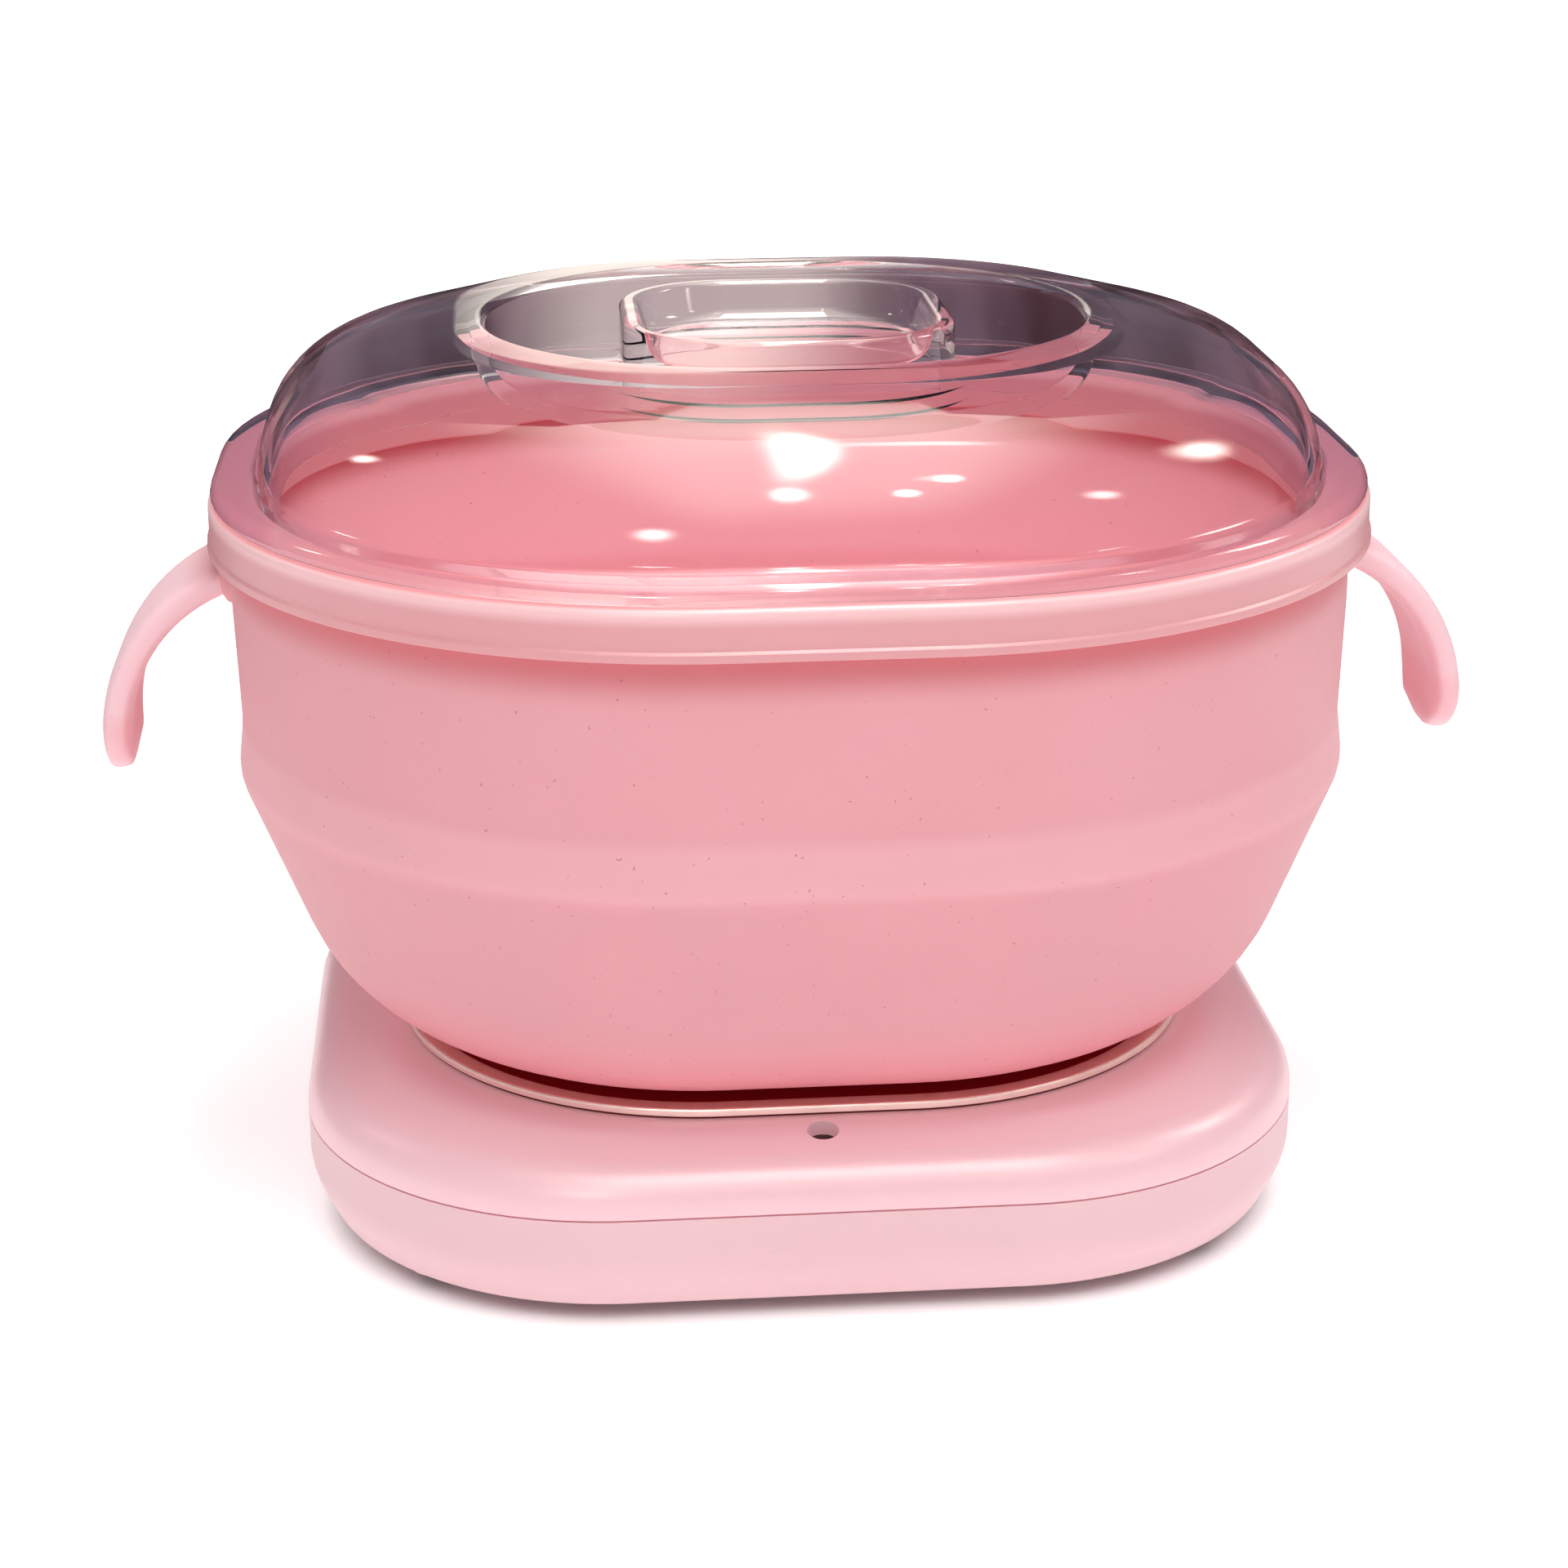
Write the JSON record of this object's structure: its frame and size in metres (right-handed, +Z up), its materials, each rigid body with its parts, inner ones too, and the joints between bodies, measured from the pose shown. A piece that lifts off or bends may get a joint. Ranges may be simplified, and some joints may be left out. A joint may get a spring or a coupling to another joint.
{
  "type": "wax warmer pot",
  "caption": "Folding silicone wax pot with ear-tab handles, rim collar and clear recessed-grip lid, lifted off an electric heater base with an indicator light.",
  "frame": {"origin": "on the table under the middle of the base", "axes": "+Z up; -Y is the front with the indicator light; +X runs from handle to handle, to the right seen from the front"},
  "size_m": [0.2214, 0.1726, 0.1411],
  "materials": {
    "silicone_pink": "matt moulded silicone",
    "collar_pink": "satin moulded plastic",
    "base_pink": "satin moulded plastic",
    "lid_clear": "clear polished plastic",
    "plate_metal": "brushed sheet",
    "seal_rubber": "dark red silicone",
    "tray_metal": "plain galvanised sheet",
    "element_metal": "dull oxidised tube",
    "zinc_steel": "zinc-plated",
    "terminal_brass": "tinned brass",
    "black_plastic": "fine matt",
    "rocker_plastic": "satin black",
    "thermostat_phenolic": "dark phenolic",
    "fuse_metal": "drawn can",
    "board_green": "solder-masked laminate",
    "led_red": "diffused lens",
    "foot_rubber": "soft grey rubber",
    "lead_insulation": "silicone-sleeved"
  },
  "bodies": {
    "base": {"base_bottom_cover": "base_pink", "base_top_housing": "base_pink", "rubber_feet": "foot_rubber", "cover_screws": "zinc_steel", "heater_plate": "plate_metal", "plate_seal": "seal_rubber", "heater_tray": "tray_metal", "heating_element": "element_metal", "element_pins": "terminal_brass", "plate_studs": "zinc_steel", "stud_nuts": "zinc_steel", "thermostat": "thermostat_phenolic", "thermostat_strap": "tray_metal", "strap_rivets": "zinc_steel", "thermal_fuse": "fuse_metal", "fuse_clip": "tray_metal", "led_board": "board_green", "board_screws": "zinc_steel", "indicator_led": "led_red", "board_resistor": "thermostat_phenolic", "power_inlet": "black_plastic", "inlet_pins": "terminal_brass", "switch_housing": "black_plastic", "switch_tabs": "terminal_brass", "lead_wires": "lead_insulation"},
    "rocker": {"switch_rocker": "rocker_plastic"},
    "pot_bottom": {"pot_bottom": "silicone_pink", "pot_fold_web": "silicone_pink"},
    "pot_rim": {"pot_upper_wall": "silicone_pink", "rim_collar": "collar_pink", "clamp_ring": "collar_pink", "handle_right": "silicone_pink", "handle_left": "silicone_pink"},
    "lid": {"lid": "lid_clear"}
  },
  "joints": [
    {"name": "switch_rock", "type": "hinge", "parent": "base", "child": "rocker", "pos_m": [0.014, 0.07, 0.0105], "axis": [0, 0, 1], "range_deg": [0, 18]},
    {"name": "pot_lift", "type": "slide", "parent": "base", "child": "pot_bottom", "axis": [0, 0, 1], "range_m": [0, 0.08]},
    {"name": "pot_fold", "type": "slide", "parent": "pot_bottom", "child": "pot_rim", "axis": [0, 0, 1], "range_m": [-0.03, 0], "deforming": ["pot_fold_web"]},
    {"name": "lid_lift", "type": "slide", "parent": "pot_rim", "child": "lid", "axis": [0, 0, 1], "range_m": [0, 0.08]}
  ]
}
